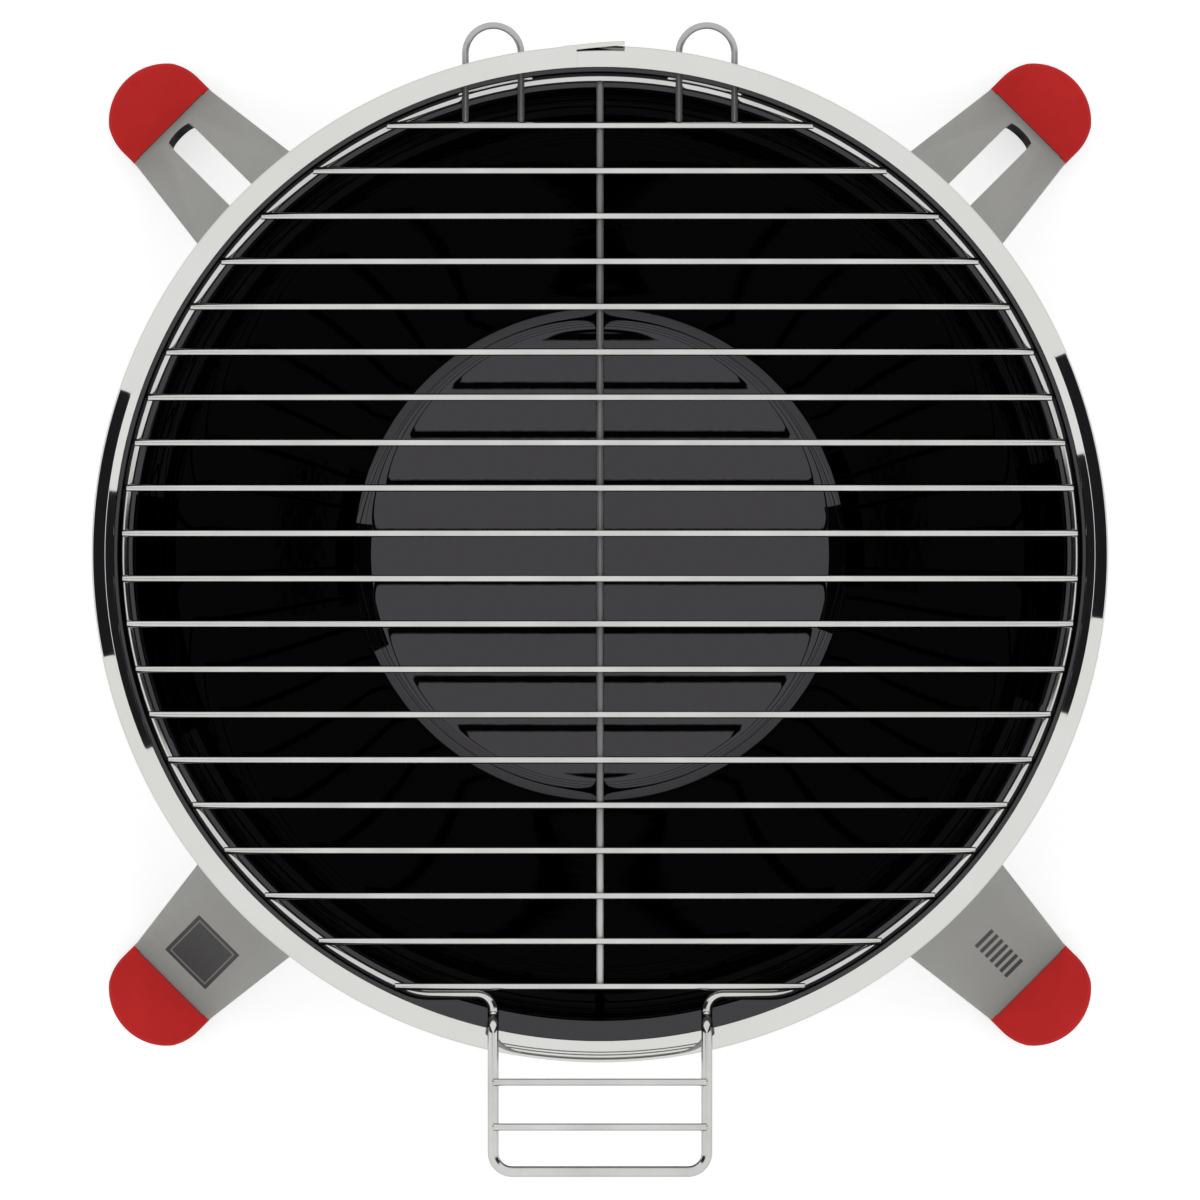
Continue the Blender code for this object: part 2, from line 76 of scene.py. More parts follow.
# Bowl shell: the solid's profile drawn finer, with a crisper shoulder and deeper slots.
SHELL = 0.0013
LEDGE_Z = RIM_TOP - 0.0193
DISH_RADIUS = 0.093
DISH_DEPTH = 0.0013
DISH_LAST_SHARES = (0.97, 0.985)
KNUCKLE_OUTER = 0.103
CONE_OUTER = 0.169
NECK_RADIUS = 0.1895
NECK_HEIGHT = 0.024
SHOULDER_RADIUS = 0.0025
SHOULDER_TURN = 0.0006
LEDGE_OUTER = 0.1992
COLLAR_RADIUS = 0.2007
FLANGE_ROUND = 0.0018
FLANGE_DROOP = 0.0008
LOWER_SLOPE = math.radians(38)
UPPER_SLOPE = math.radians(45)
SLOT_WIDTH = 0.031
SLOT_BOTTOM = LEDGE_Z + 0.0013
SLOT_TOP = RIM_TOP - 0.0085
SLOT_ROUND = 0.002
SLOT_CUT_DEPTH = 0.04
SLOT_CUT_REACH = 0.20

# Trim ring seam, clockwise from the back.
SEAM_START = math.radians(-2.65)
LAP_START = math.radians(-5.6)
SEAM_FULL_END = math.radians(-2.66)
TAIL_SECTIONS = (
    (-2.65, 0.2070, 0.2091),
    (-1.3, 0.2074, 0.2095),
    (0.0, 0.2078, 0.2099),
    (1.4, 0.2083, 0.2103),
    (2.8, 0.2088, 0.2106),
)
TAIL_TOP = -0.0018
TAIL_THICKNESS = 0.0005
TAIL_SLOPE = math.tan(math.radians(33))

# Grate wires.
FRAME_WIRE = 0.00225
BAR_WIRE = 0.0015
HOOK_WIRE = 0.0014
FRAME_RADIUS = (FRAME_HIGH.x - FRAME_LOW.x) / 2 - FRAME_WIRE
FRAME_Z = FRAME_LOW.z + FRAME_WIRE
HANDLE_X = (RUNG_HIGH.x - RUNG_LOW.x) / 2
HANDLE_Z = FRAME_HIGH.z - FRAME_WIRE
HANDLE_END_Y = FRAME_LOW.y + FRAME_WIRE - AXIS.y
FRONT_RUN_Y = -0.1806
HANDLE_RISE_Y = -0.1916
BAR_COUNT = 20

# Weld beads, as half sizes along x, y and z. A cross bar's bead on the frame wire is longer
# along x where the two cross at a slant.
BAR_BEAD = (0.0011, 0.0012, 0.0007)
BAR_BEAD_STRETCH = (0.0009, 0, 0)
SPINE_BEAD = (0.0010, 0.0010, 0.0007)
SPINE_END_BEAD = (0.0013, 0.0011, 0.0010)
HOOK_END_BEAD = (0.0012, 0.0009, 0.0010)
HOOK_RING_BEAD = (0.0010, 0.0013, 0.0007)
RUNG_BEAD = (0.0012, 0.0012, 0.0007)

# The gap left between parts that touch in the real grill.
FIT = 0.0003

# Legs, outwards from the bowl's axis.
LEG_THICKNESS = 0.003
LEG_TOP_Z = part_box("leg_front_left")[1].z
LEG_BEND_Z = 0.228
LEG_TOP_REACH = NECK_RADIUS + SHELL + FIT + LEG_THICKNESS / 2
LEG_FOOT_REACH = 0.2516
LEG_PAD_Z = 0.0045
LEG_PAD_END = 0.2655
LEG_SHOULDER_Z = 0.0102
LEG_SHOULDER_STEP = 0.0003
LEG_PAD_HALF_WIDTH = 0.0188
LEG_HALF_WIDTH_AT_RIM = 0.0263
LEG_RIM_REACH = 0.2116
LEG_TAPER = 0.115
LEG_SLOT_HALF_WIDTH = 0.0063
LEG_SLOT_TOP_Z = 0.218
LEG_SLOT_BOTTOM_Z = 0.0236
LEG_LEAN = math.atan2(LEG_FOOT_REACH - LEG_TOP_REACH, LEG_BEND_Z - LEG_PAD_Z)

# Feet.
FOOT_BACK = 0.2462
FOOT_HALF_WIDTH = 0.0220
FOOT_ARC_CENTRE = 0.2546
FOOT_ARC_RADIUS = 0.0240
FOOT_BLEND = 0.006
FOOT_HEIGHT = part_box("foot_front_left")[1].z
FOOT_TOP_ROUND = 0.0017
FOOT_BASE_ROUND = 0.0005

# Fasteners.
STUD_SPREAD = 0.014
STUD_Z = 0.240
STUD_RADIUS = 0.003
STUD_LENGTH = 0.0105
STUD_PITCH = 0.001
STUD_GAP = 0.00005
NUT_HEIGHT = 0.005
NUT_FLATS = 0.010
HOLE_RADIUS = 0.0033
CUT_REACH = 0.01

CORNERS = {"front_right": -45, "back_right": 45, "back_left": 135, "front_left": 225}

# Plain marks on the front legs, as (half width, lowest z, highest z).
BADGE = (0.0118, 0.0418, 0.1208)
TALLY = (0.0049, 0.0418, 0.1208)

# Camera: looking straight down, the frame's width in metres at the rim.
FRAME_WIDTH = 0.492
CAMERA_LENS = 1500
SENSOR = 36
CAMERA_Y = -0.00026

# Black cards beside the grill, as (name, x, lowest y, highest y), y from the bowl's axis.
FLAGS = (("flag_right", 0.6, -0.0768, 0.2596), ("flag_left", -0.6, -0.1240, 0.2064))
FLAG_FOOT = RIM_TOP - 0.005
FLAG_TOP = 3.0

# Floor and dome: the floor's glow to the camera, how much stronger the dome is on matt surfaces,
# and how much weaker it is to light that two glossy surfaces have already reflected.
FLOOR_RADIUS = 7
FLOOR_GAP = 0.0002
FLOOR_GLOW = 0.5
MATT_LIFT = 0.12
REPEAT_DROP = 0.6


# ---------------------------------------------------------------- node helpers
class Nodes:
    """A short way to write a node tree."""

    def __init__(self, tree):
        self.tree = tree
        tree.nodes.clear()

    def add(self, kind, **settings):
        node = self.tree.nodes.new(kind)
        for key, value in settings.items():
            setattr(node, key, value)
        return node

    def join(self, start, end):
        self.tree.links.new(start, end)

    def math(self, operation, first, second=None, clamp=False):
        node = self.add("ShaderNodeMath", operation=operation, use_clamp=clamp)
        for socket, value in zip(node.inputs, (first, second)):
            if isinstance(value, (int, float)):
                socket.default_value = value
            elif value is not None:
                self.join(value, socket)
        return node.outputs[0]

    def noise(self, vector, scale, detail=4, roughness=0.5):
        node = self.add("ShaderNodeTexNoise")
        node.inputs["Scale"].default_value = scale
        node.inputs["Detail"].default_value = detail
        node.inputs["Roughness"].default_value = roughness
        self.join(vector, node.inputs["Vector"])
        return node.outputs["Fac"]

    def stretch(self, vector, factors):
        node = self.add("ShaderNodeVectorMath", operation="MULTIPLY")
        node.inputs[1].default_value = factors
        self.join(vector, node.inputs[0])
        return node.outputs[0]

    def ramp(self, value, low, high, low_colour, high_colour):
        node = self.add("ShaderNodeValToRGB")
        start, end = node.color_ramp.elements
        start.position, end.position = low, high
        start.color, end.color = (*low_colour, 1), (*high_colour, 1)
        self.join(value, node.inputs[0])
        return node.outputs[0]

    def span(self, value, low, high):
        """The value's 0 to 1, stretched to the range low to high."""
        node = self.add("ShaderNodeMapRange")
        node.inputs["To Min"].default_value = low
        node.inputs["To Max"].default_value = high
        self.join(value, node.inputs["Value"])
        return node.outputs[0]

    def bump(self, height, strength, distance, onto=None):
        node = self.add("ShaderNodeBump")
        node.inputs["Strength"].default_value = strength
        node.inputs["Distance"].default_value = distance
        self.join(height, node.inputs["Height"])
        if onto is not None:
            self.join(onto, node.inputs["Normal"])
        return node.outputs[0]


def new_material(name, **sockets):
    """A Principled material. Returns (material, nodes, shader, object coordinates)."""
    material = bpy.data.materials.new(name)
    material.use_nodes = True
    nodes = Nodes(material.node_tree)
    shader = nodes.add("ShaderNodeBsdfPrincipled")
    output = nodes.add("ShaderNodeOutputMaterial")
    nodes.join(shader.outputs[0], output.inputs["Surface"])
    for key, value in sockets.items():
        shader.inputs[key.replace("_", " ")].default_value = value
    place = nodes.add("ShaderNodeTexCoord").outputs["Object"]
    return material, nodes, shader, place


def enamel():
    """Vitreous black enamel: deep gloss, a faint orange peel, and rare fine specks."""
    material, nodes, shader, place = new_material("enamel", IOR=1.70)
    shader.inputs["Specular Tint"].default_value = (0.985, 0.94, 1.0, 1)
    specks = nodes.noise(place, 1400, 2)
    colour = nodes.ramp(specks, 0.70, 0.80, (0.0002, 0.0002, 0.0003), (0.003, 0.003, 0.0035))
    nodes.join(colour, shader.inputs["Base Color"])
    haze = nodes.noise(place, 22, 3)
    nodes.join(nodes.span(haze, 0.0, 0.03), shader.inputs["Roughness"])
    peel = nodes.noise(place, 240, 2, 0.4)
    nodes.join(nodes.bump(peel, 0.02, 0.0001), shader.inputs["Normal"])
    return material


def turned_coordinates(nodes, place):
    """(distance from the axis, angle round it, height), for marks that run round a ring."""
    parts = nodes.add("ShaderNodeSeparateXYZ")
    nodes.join(place, parts.inputs[0])
    x, y, z = parts.outputs
    across = nodes.math("SQRT", nodes.math("ADD", nodes.math("MULTIPLY", x, x), nodes.math("MULTIPLY", y, y)))
    round_it = nodes.math("ARCTAN2", y, x)
    joined = nodes.add("ShaderNodeCombineXYZ")
    for value, socket in zip((across, round_it, z), joined.inputs):
        nodes.join(value, socket)
    return joined.outputs[0]


def polished_steel():
    """Mirror-polished strip with fine drawing lines that run round the rim."""
    material, nodes, shader, place = new_material("polished_steel", Metallic=1.0)
    ring = turned_coordinates(nodes, place)
    lines = nodes.noise(nodes.stretch(ring, (5200, 9, 5200)), 1, 3)
    smears = nodes.noise(place, 34, 3)
    colour = nodes.ramp(smears, 0.3, 0.75, (0.845, 0.848, 0.818), (0.885, 0.888, 0.865))
    nodes.join(colour, shader.inputs["Base Color"])
    nodes.join(nodes.span(lines, 0.01, 0.05), shader.inputs["Roughness"])
    nodes.join(nodes.bump(lines, 0.03, 0.00001), shader.inputs["Normal"])
    return material


def bright_wire(name, tint, low, high, metallic=1.0, fade=None):
    """Drawn and plated wire: bright, with fine pits and slight dulling in patches, its roughness
    from low to high. With a fade, as (y where it starts, y where it ends), painted shade turns
    the wire a darker grey past it, standing in for the dark reflections those wires show."""
    material, nodes, shader, place = new_material(name, Metallic=metallic)
    patches = nodes.noise(place, 45, 4)
    dull = tuple(c * 0.86 for c in tint)
    colour = nodes.ramp(patches, 0.35, 0.7, dull, tint)
    if fade:
        parts = nodes.add("ShaderNodeSeparateXYZ")
        nodes.join(place, parts.inputs[0])
        past = nodes.math("SUBTRACT", parts.outputs[1], fade[0])
        # Painted shade: past the fade the colour is multiplied towards this grey.
        painted_shade_mix = nodes.add("ShaderNodeMix", data_type="RGBA", blend_type="MULTIPLY")
        nodes.join(nodes.math("DIVIDE", past, fade[1] - fade[0], clamp=True), painted_shade_mix.inputs["Factor"])
        nodes.join(colour, painted_shade_mix.inputs[6])
        painted_shade_mix.inputs[7].default_value = (0.35, 0.35, 0.355, 1)
        colour = painted_shade_mix.outputs[2]
    nodes.join(colour, shader.inputs["Base Color"])
    nodes.join(nodes.span(patches, low, high), shader.inputs["Roughness"])
    pits = nodes.noise(place, 2600, 3, 0.6)
    nodes.join(nodes.bump(pits, 0.06, 0.00006), shader.inputs["Normal"])
    return material


def box_mask(nodes, across, up, half_width, low, high):
    """1 inside |across| < half_width and low < up < high, else 0."""
    inside = nodes.math("LESS_THAN", nodes.math("ABSOLUTE", across), half_width)
    above = nodes.math("GREATER_THAN", up, low)
    below = nodes.math("LESS_THAN", up, high)
    return nodes.math("MULTIPLY", nodes.math("MULTIPLY", inside, above), below)


def satin_steel(name, print_and_shade_pattern=None):
    """Brushed sheet steel, its grain along the leg, painted lighter near the foot against the
    boot's shade, with an optional dark pattern: plain print on the front legs, painted shade in
    the back legs' slots.
    """
    material, nodes, shader, place = new_material(name, Metallic=0.35)
    grain = nodes.noise(nodes.stretch(place, (60, 3200, 60)), 1, 4, 0.6)
    clouds = nodes.noise(place, 26, 3)
    colour = nodes.ramp(grain, 0.3, 0.72, (0.415, 0.411, 0.389), (0.506, 0.501, 0.475))
    shade = nodes.add("ShaderNodeMix", data_type="RGBA", blend_type="MULTIPLY")
    shade.inputs["Factor"].default_value = 0.12
    nodes.join(colour, shade.inputs[6])
    nodes.join(nodes.ramp(clouds, 0.3, 0.7, (0.6, 0.6, 0.6), (1, 1, 1)), shade.inputs[7])
    parts = nodes.add("ShaderNodeSeparateXYZ")
    nodes.join(place, parts.inputs[0])
    _, across, up = parts.outputs
    # Painted light: a ramp over height multiplies the leg by 1 at the foot and 0.76 from z 0.15 up, so the
    # lower leg is painted lighter to cancel the shade the boot casts on it.
    painted_light_near_foot = nodes.add("ShaderNodeMix", data_type="RGBA", blend_type="MULTIPLY")
    painted_light_near_foot.inputs["Factor"].default_value = 1.0
    nodes.join(shade.outputs[2], painted_light_near_foot.inputs[6])
    nodes.join(nodes.ramp(up, 0.014, 0.15, (1, 1, 1), (0.76, 0.76, 0.76)), painted_light_near_foot.inputs[7])
    colour = painted_light_near_foot.outputs[2]
    rough = nodes.span(grain, 0.34, 0.50)
    if print_and_shade_pattern:
        mask = print_and_shade_pattern(nodes, across, up)
        print_and_shade_mix = nodes.add("ShaderNodeMix", data_type="RGBA")
        nodes.join(mask, print_and_shade_mix.inputs["Factor"])
        nodes.join(colour, print_and_shade_mix.inputs[6])
        # Near black: plain print on the front legs, painted shade in the back legs' slots.
        print_and_shade_mix.inputs[7].default_value = (0.017, 0.0135, 0.0155, 1)
        colour = print_and_shade_mix.outputs[2]
        rough = nodes.math("ADD", rough, nodes.math("MULTIPLY", mask, 0.12))
    nodes.join(colour, shader.inputs["Base Color"])
    nodes.join(rough, shader.inputs["Roughness"])
    nodes.join(nodes.bump(grain, 0.10, 0.00005), shader.inputs["Normal"])
    return material


def badge_mark(nodes, across, up):
    """A plain dark panel with a thin clear line inside its edge and no lettering."""
    half, low, high = BADGE
    panel = box_mask(nodes, across, up, half, low, high)
    edge, line = 0.0016, 0.0006
    outer = box_mask(nodes, across, up, half - edge, low + 3 * edge, high - 3 * edge)
    step = 3 * edge + 4 * line
    inner = box_mask(nodes, across, up, half - edge - line, low + step, high - step)
    clear = nodes.math("SUBTRACT", outer, inner)
    return nodes.math("SUBTRACT", panel, nodes.math("MULTIPLY", clear, 0.45), clamp=True)


def slot_shade(nodes, across, up):
    """Painted shade: the round cut face at the foot of a back leg's slot, painted dark."""
    half, foot = LEG_SLOT_HALF_WIDTH, LEG_SLOT_BOTTOM_Z
    rest = nodes.math("SUBTRACT", half**2, nodes.math("MULTIPLY", across, across))
    depth = nodes.math("SQRT", nodes.math("MAXIMUM", rest, 0.0))
    edge = nodes.math("SUBTRACT", foot + half - 0.0006, depth)
    beyond = nodes.math("GREATER_THAN", up, edge)
    return nodes.math("MULTIPLY", beyond, box_mask(nodes, across, up, half + 0.0001, 0, foot + 0.0040))


def tally_mark(nodes, across, up):
    """A plain row of equal dark dashes across the leg."""
    half, low, high = TALLY
    panel = box_mask(nodes, across, up, half, low, high)
    pitch = (high - low) / 7
    phase = nodes.math("FRACT", nodes.math("DIVIDE", nodes.math("SUBTRACT", up, low), pitch))
    return nodes.math("MULTIPLY", panel, nodes.math("LESS_THAN", phase, 0.55))


def red_plastic():
    """Moulded matt plastic with a fine grain and slightly uneven colour, which is grey to bounced
    rays, so that it does not tint the floor and the legs."""
    material, nodes, shader, place = new_material("red_plastic", Specular_IOR_Level=0.2)
    clouds = nodes.noise(place, 70, 3)
    colour = nodes.ramp(clouds, 0.25, 0.75, (0.55, 0.0125, 0.0110), (0.62, 0.0160, 0.0145))
    bounced = nodes.add("ShaderNodeMix", data_type="RGBA")
    path = nodes.add("ShaderNodeLightPath").outputs
    bounce = nodes.math("ADD", path["Is Diffuse Ray"], path["Is Glossy Ray"], clamp=True)
    nodes.join(bounce, bounced.inputs["Factor"])
    nodes.join(colour, bounced.inputs[6])
    bounced.inputs[7].default_value = (0.42, 0.40, 0.39, 1)
    nodes.join(bounced.outputs[2], shader.inputs["Base Color"])
    grain = nodes.noise(place, 2300, 3, 0.6)
    nodes.join(nodes.span(grain, 0.40, 0.58), shader.inputs["Roughness"])
    nodes.join(nodes.bump(grain, 0.25, 0.00008), shader.inputs["Normal"])
    return material


# ---------------------------------------------------------------- mesh helpers
def skin(bm, rings, wrap=True):
    """Quads between each ring of points and the next."""
    made = [[bm.verts.new(point) for point in ring] for ring in rings]
    for one, two in zip(made, made[1:]):
        count = len(one)
        for i in range(count if wrap else count - 1):
            j = (i + 1) % count
            bm.faces.new((one[i], one[j], two[j], two[i]))
    return made


def finish_mesh(name, bm, angle=35):
    bmesh.ops.recalc_face_normals(bm, faces=bm.faces)
    mesh = bpy.data.meshes.new(name)
    bm.to_mesh(mesh)
    bm.free()
    mesh.shade_smooth()
    mesh.set_sharp_from_angle(angle=math.radians(angle))
    return mesh


def piece(name, mesh, material, turn=0.0):
    """An object on the bowl's axis, turned about it."""
    obj = bpy.data.objects.new(name, mesh)
    bpy.context.scene.collection.objects.link(obj)
    obj.location = AXIS
    obj.rotation_euler.z = turn
    if material is not None:
        mesh.materials.clear()
        mesh.materials.append(material)
    return obj


def stand_for(obj, body, slot, *nodes):
    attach(obj, body)
    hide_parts(*nodes)
    return obj


def cut(target, cutter):
    """Takes the cutter away from the target and removes the cutter."""
    boolean = target.modifiers.new("cut", "BOOLEAN")
    boolean.operation = "DIFFERENCE"
    boolean.solver = "EXACT"
    boolean.object = cutter
    apply_modifiers(target)
    bpy.data.objects.remove(cutter, do_unlink=True)


def apply_modifiers(obj, angle=35):
    bpy.context.view_layer.update()
    graph = bpy.context.evaluated_depsgraph_get()
    mesh = bpy.data.meshes.new_from_object(obj.evaluated_get(graph))
    obj.modifiers.clear()
    obj.data = mesh
    mesh.shade_smooth()
    mesh.set_sharp_from_angle(angle=math.radians(angle))


def soften_edges(obj, width, segments=2, angle=40):
    """Rounds the edges that stay after the cuts."""
    bevel = obj.modifiers.new("edges", "BEVEL")
    bevel.width = width
    bevel.segments = segments
    bevel.limit_method = "ANGLE"
    bevel.angle_limit = math.radians(angle)
    bevel.harden_normals = False
    apply_modifiers(obj, 50)


def arc(centre, radius, start, end, steps):
    """Points (across, up) on an arc, from the start angle to the end angle in degrees."""
    angles = [math.radians(start + (end - start) * i / steps) for i in range(steps + 1)]
    return [(centre[0] + radius * math.cos(a), centre[1] + radius * math.sin(a)) for a in angles]


def slope_arc(start, end_radius, low_slope, high_slope, steps):
    """A rising wall from the start point out to end_radius, its slope growing from low to high."""
    turn = (end_radius - start[0]) / (math.sin(high_slope) - math.sin(low_slope))
    points = []
    for i in range(1, steps + 1):
        slope = low_slope + (high_slope - low_slope) * i / steps
        across = start[0] + turn * (math.sin(slope) - math.sin(low_slope))
        points.append((across, start[1] + turn * (math.cos(low_slope) - math.cos(slope))))
    return points


def offset_line(points, distance):
    """The same open line, moved to its right by the distance, square to its direction."""
    moved = []
    for i, point in enumerate(points):
        before = Vector(points[max(i - 1, 0)])
        after = Vector(points[min(i + 1, len(points) - 1)])
        here = Vector(point)
        ways = [way.normalized() for way in (here - before, after - here) if way.length > 0]
        way = sum(ways, Vector((0, 0))).normalized()
        stretch = distance / max(way.dot(ways[0]), 0.5)
        moved.append((here.x + way.y * stretch, here.y - way.x * stretch))
    return moved


def lathe(name, outline, steps):
    """A solid of revolution about Z from an outline of (radius, height) points."""
    rings = []
    for radius, up in outline:
        angles = [2 * math.pi * i / steps for i in range(steps)]
        rings.append([Vector((radius * math.cos(a), radius * math.sin(a), up)) for a in angles])
    bm = bmesh.new()
    skin(bm, rings)
    bmesh.ops.remove_doubles(bm, verts=bm.verts, dist=1e-7)
    return finish_mesh(name, bm)


def rounded(points, radii, closed, step=math.radians(6)):
    """A path with each corner rounded to its own radius."""
    path = []
    count = len(points)
    for i, radius in enumerate(radii):
        corner = Vector(points[i])
        at_end = not closed and i in (0, count - 1)
        if not radius or at_end:
            path.append(corner)
            continue
        back = (Vector(points[i - 1]) - corner).normalized()
        ahead = (Vector(points[(i + 1) % count]) - corner).normalized()
        turn = math.pi - back.angle(ahead)
        middle = corner + (back + ahead).normalized() * radius / math.cos(turn / 2)
        first = corner + back * radius * math.tan(turn / 2) - middle
        last = corner + ahead * radius * math.tan(turn / 2) - middle
        pivot = first.cross(last).normalized()
        steps = max(2, round(turn / step))
        for k in range(steps + 1):
            path.append(middle + Matrix.Rotation(turn * k / steps, 3, pivot) @ first)
    return path


def carried_frames(path, closed):
    """(point, side, other side) at each point of the path, carried along it without twist."""
    path = [Vector(point) for point in path]
    count = len(path)
    ways = []
    for i in range(count):
        ahead = path[(i + 1) % count] - path[i] if closed or i < count - 1 else path[i] - path[i - 1]
        back = path[i] - path[i - 1] if closed or i > 0 else ahead
        ways.append((ahead.normalized() + back.normalized()).normalized())
    side = ways[0].orthogonal().normalized()
    frames = []
    for point, way in zip(path, ways):
        side = (side - way * side.dot(way)).normalized()
        frames.append((point, side, way.cross(side)))
    return frames


def loop_of(point, side, other, radius, sides):
    angles = [2 * math.pi * i / sides for i in range(sides)]
    return [point + (side * math.cos(a) + other * math.sin(a)) * radius for a in angles]


def add_tube(bm, path, radius, closed=False, sides=24, nose=0.0004):
    """A wire along the path. An open wire's cut ends are slightly rounded."""
    frames = carried_frames(path, closed)
    if closed:
        rings = [loop_of(*frame, radius, sides) for frame in frames]
        skin(bm, [*rings, rings[0]])
        bmesh.ops.remove_doubles(bm, verts=bm.verts, dist=1e-7)
        return
    rings = []
    first, last = frames[0], frames[-1]
    start_way = first[1].cross(first[2])
    end_way = last[1].cross(last[2])
    turns = [math.radians(90 - 22.5 * k) for k in range(5)]
    for turn in turns:
        inset = nose * (1 - math.sin(turn))
        size = radius - nose * (1 - math.cos(turn))
        rings.append(loop_of(first[0] + start_way * inset, first[1], first[2], size, sides))
    rings += [loop_of(*frame, radius, sides) for frame in frames[1:-1]]
    for turn in reversed(turns):
        inset = nose * (1 - math.sin(turn))
        size = radius - nose * (1 - math.cos(turn))
        rings.append(loop_of(last[0] - end_way * inset, last[1], last[2], size, sides))
    made = skin(bm, rings)
    bm.faces.new(made[0][::-1])
    bm.faces.new(made[-1])


def add_weld(bm, place, size):
    """A small squashed bead where two wires are welded."""
    matrix = Matrix.Translation(place) @ Matrix.Diagonal((*size, 1))
    bmesh.ops.create_uvsphere(bm, u_segments=14, v_segments=8, radius=1, matrix=matrix)


# ---------------------------------------------------------------- bowl and trim
def bowl_line(shoulder_round):
    """The bowl's surface, from its axis out and up to the flange; its shoulder is a slope with
    small rounds of the given radius, or one full bend if the radius is the shoulder's own."""
    shares = [i / 10 for i in range(10)] + [*DISH_LAST_SHARES, 1]
    line = [(DISH_RADIUS * share, DISH_DEPTH * share**2) for share in shares]
    dish_slope = math.atan(2 * DISH_DEPTH / DISH_RADIUS)
    line += slope_arc(line[-1], KNUCKLE_OUTER, dish_slope, LOWER_SLOPE, 16)
    line += slope_arc(line[-1], CONE_OUTER, LOWER_SLOPE, UPPER_SLOPE, 10)
    line += slope_arc(line[-1], NECK_RADIUS, UPPER_SLOPE, math.pi / 2, 24)
    neck_top = line[-1][1] + NECK_HEIGHT
    ledge = neck_top + SHOULDER_RADIUS
    drop = LEDGE_Z - ledge
    collar_round = COLLAR_RADIUS - LEDGE_OUTER
    line += arc((NECK_RADIUS + shoulder_round, neck_top), shoulder_round, 180, 135, 5)
    line += arc((NECK_RADIUS + SHOULDER_RADIUS, ledge - shoulder_round), shoulder_round, 135, 90, 5)
    line += arc((LEDGE_OUTER, ledge + collar_round), collar_round, -90, 0, 8)
    flange_centre = (COLLAR_RADIUS + FLANGE_ROUND, FLANGE_Z - drop - FLANGE_ROUND)
    line += arc(flange_centre, FLANGE_ROUND, 180, 90, 8)
    line.append((FLANGE_OUTER, FLANGE_Z - drop - FLANGE_DROOP))
    return [(across, up + drop) for across, up in line]


def slot_cutter(x):
    """A round-cornered block that opens one hook slot in the collar."""
    bm = bmesh.new()
    bmesh.ops.create_cube(bm, size=1)
    size = (SLOT_WIDTH, SLOT_CUT_DEPTH, SLOT_TOP - SLOT_BOTTOM)
    bmesh.ops.scale(bm, vec=size, verts=bm.verts)
    long_way = SLOT_CUT_DEPTH / 2
    along = [edge for edge in bm.edges if abs(edge.verts[0].co.y - edge.verts[1].co.y) > long_way]
    bmesh.ops.bevel(bm, geom=along, offset=SLOT_ROUND, segments=5, profile=0.5, affect="EDGES")
    cutter = piece("slot_cutter", finish_mesh("slot_cutter", bm), None)
    cutter.location += Vector((x, SLOT_CUT_REACH, (SLOT_TOP + SLOT_BOTTOM) / 2))
    return cutter


def make_bowl(material):
    inner = bowl_line(SHOULDER_TURN)
    outer = offset_line(bowl_line(SHOULDER_RADIUS), SHELL)
    outer[0] = (0, outer[0][1])
    bowl = piece("bowl_shell", lathe("bowl_shell", inner + outer[::-1], 288), material)
    for side in (-1, 1):
        cut(bowl, slot_cutter(side * HANDLE_X))
    stand_for(bowl, "kettle", "black_enamel", "bowl")


def bent_line(start, parts):
    """A closed outline of straight runs and curves. Each part is (end, control or None, steps)."""
    points = []
    here = start
    for end, control, steps in parts:
        for i in range(steps):
            t = i / steps
            if control:
                weights = ((1 - t) ** 2, 2 * t * (1 - t), t**2)
                corners = (here, control, end)
            else:
                weights = (1 - t, t)
                corners = (here, end)
            across = sum(w * corner[0] for w, corner in zip(weights, corners))
            up = sum(w * corner[1] for w, corner in zip(weights, corners))
            points.append((across, up))
        here = end
    return points


def trim_profile():
    """The folded strip: inner lip, roof, outer side and hem. Heights are below the rim's top."""
    start = (0.1995, -0.0052)
    return bent_line(start, [
        ((0.1995, -0.0031), None, 1),
        ((0.19985, -0.00245), (0.1995, -0.00275), 3),
        ((0.20225, -0.00045), None, 2),
        ((0.2034, -0.0002), (0.2028, 0.00002), 4),
        ((0.2084, -0.0040), (0.20491, -0.00063), 10),
        ((0.2085, -0.0045), (0.20849, -0.0041), 4),
        ((0.2085, -0.0094), None, 1),
        ((0.2079, -0.0100), (0.2085, -0.0100), 3),
        ((0.2057, -0.0100), None, 1),
        ((0.2055, -0.00955), (0.2055, -0.0100), 2),
        ((0.2058, -0.0091), (0.2055, -0.0091), 2),
        ((0.2074, -0.0091), None, 1),
        ((0.2076, -0.0088), (0.2076, -0.0091), 2),
        ((0.2076, -0.0050), None, 1),
        ((0.2068, -0.0036), None, 2),
        ((0.2030, -0.0013), None, 1),
        ((0.2026, -0.0013), (0.2028, -0.0011), 2),
        ((0.2004, -0.0032), None, 1),
        ((0.2004, -0.0052), None, 1),
        (start, (0.19995, -0.0056), 3),
    ])


